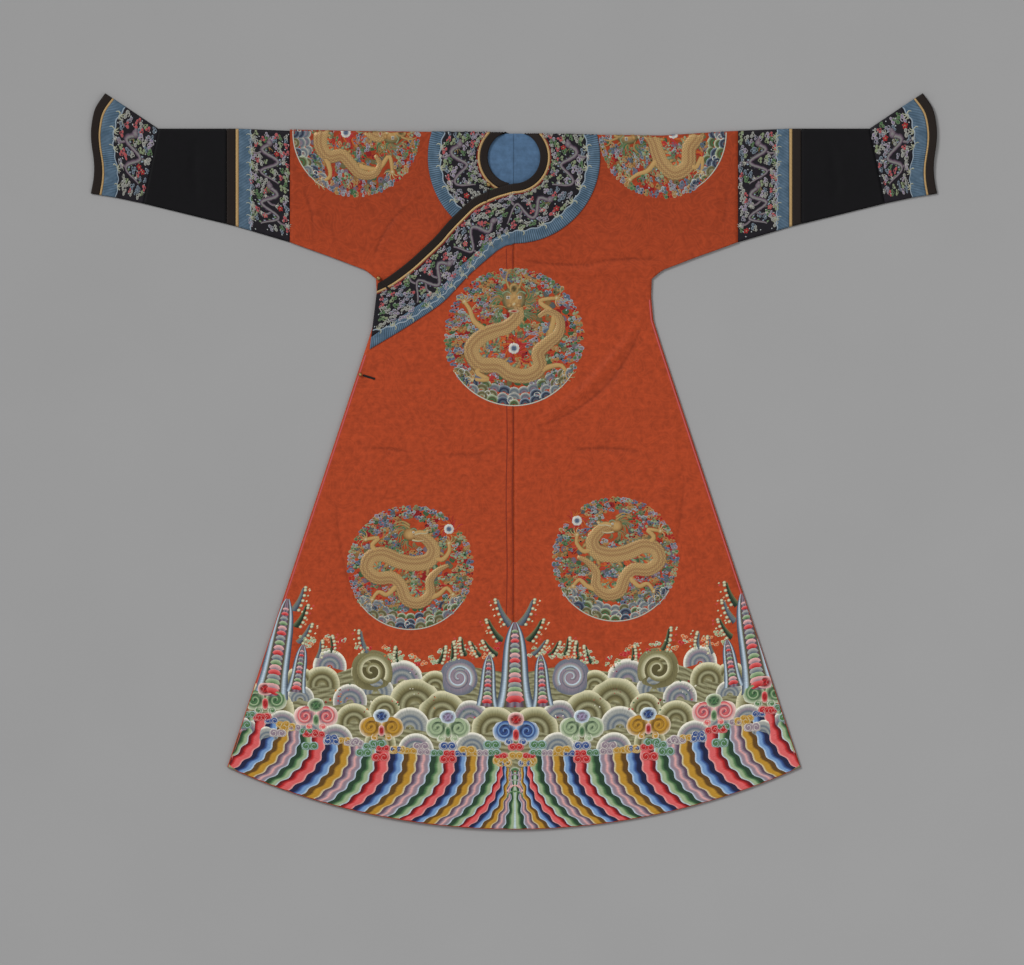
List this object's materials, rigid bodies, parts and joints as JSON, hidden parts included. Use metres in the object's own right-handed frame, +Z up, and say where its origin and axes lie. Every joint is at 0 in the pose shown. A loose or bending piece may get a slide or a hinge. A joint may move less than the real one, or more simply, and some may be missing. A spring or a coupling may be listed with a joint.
{
  "type": "chinese dragon robe",
  "caption": "Long A-line silk robe with a side-closing flap, round collar and horse-hoof cuffs, embroidered with dragon roundels and waves, laid out flat.",
  "frame": {"origin": "middle of the laid-out robe's outline, on the surface that it lies on", "axes": "+X towards the wearer's left cuff, +Y from the hem towards the shoulders, +Z up out of the front"},
  "size_m": [1.7176, 1.4949, 0.0193],
  "materials": {
    "silk": "orange-red silk satin with a soft sheen",
    "lining": "light-blue plain silk",
    "navy": "dark navy satin, densely embroidered",
    "wave_blue": "light-blue satin with fine dark wave lines",
    "braid": "flat woven braid of gold-coloured thread",
    "binding": "dark brown figured silk",
    "black": "near-black plain silk",
    "brass": "turned brass, aged",
    "cord": "dark corded silk"
  },
  "bodies": {
    "root": {"left_body": "silk", "right_body": "silk", "front_overlap": "silk", "lining_left": "lining", "lining_right": "lining", "collar_over_binding": "binding", "collar_over_braid": "braid", "collar_over_band": "navy", "collar_over_border": "wave_blue", "collar_under_binding": "binding", "collar_under_braid": "braid", "collar_under_band": "navy", "collar_under_border": "wave_blue", "left_sleeve_band": "navy", "left_sleeve_border": "wave_blue", "left_sleeve_braid": "braid", "left_sleeve_binding": "binding", "left_sleeve_extension": "black", "left_cuff_band": "navy", "left_cuff_border": "wave_blue", "left_cuff_braid": "braid", "left_cuff_binding": "binding", "right_sleeve_band": "navy", "right_sleeve_border": "wave_blue", "right_sleeve_braid": "braid", "right_sleeve_binding": "binding", "right_sleeve_extension": "black", "right_cuff_band": "navy", "right_cuff_border": "wave_blue", "right_cuff_braid": "braid", "right_cuff_binding": "binding", "neck_button": "brass", "neck_loop": "cord", "underarm_button": "brass", "underarm_loop": "cord", "side_button": "brass", "side_loop": "cord"}
  },
  "joints": []
}
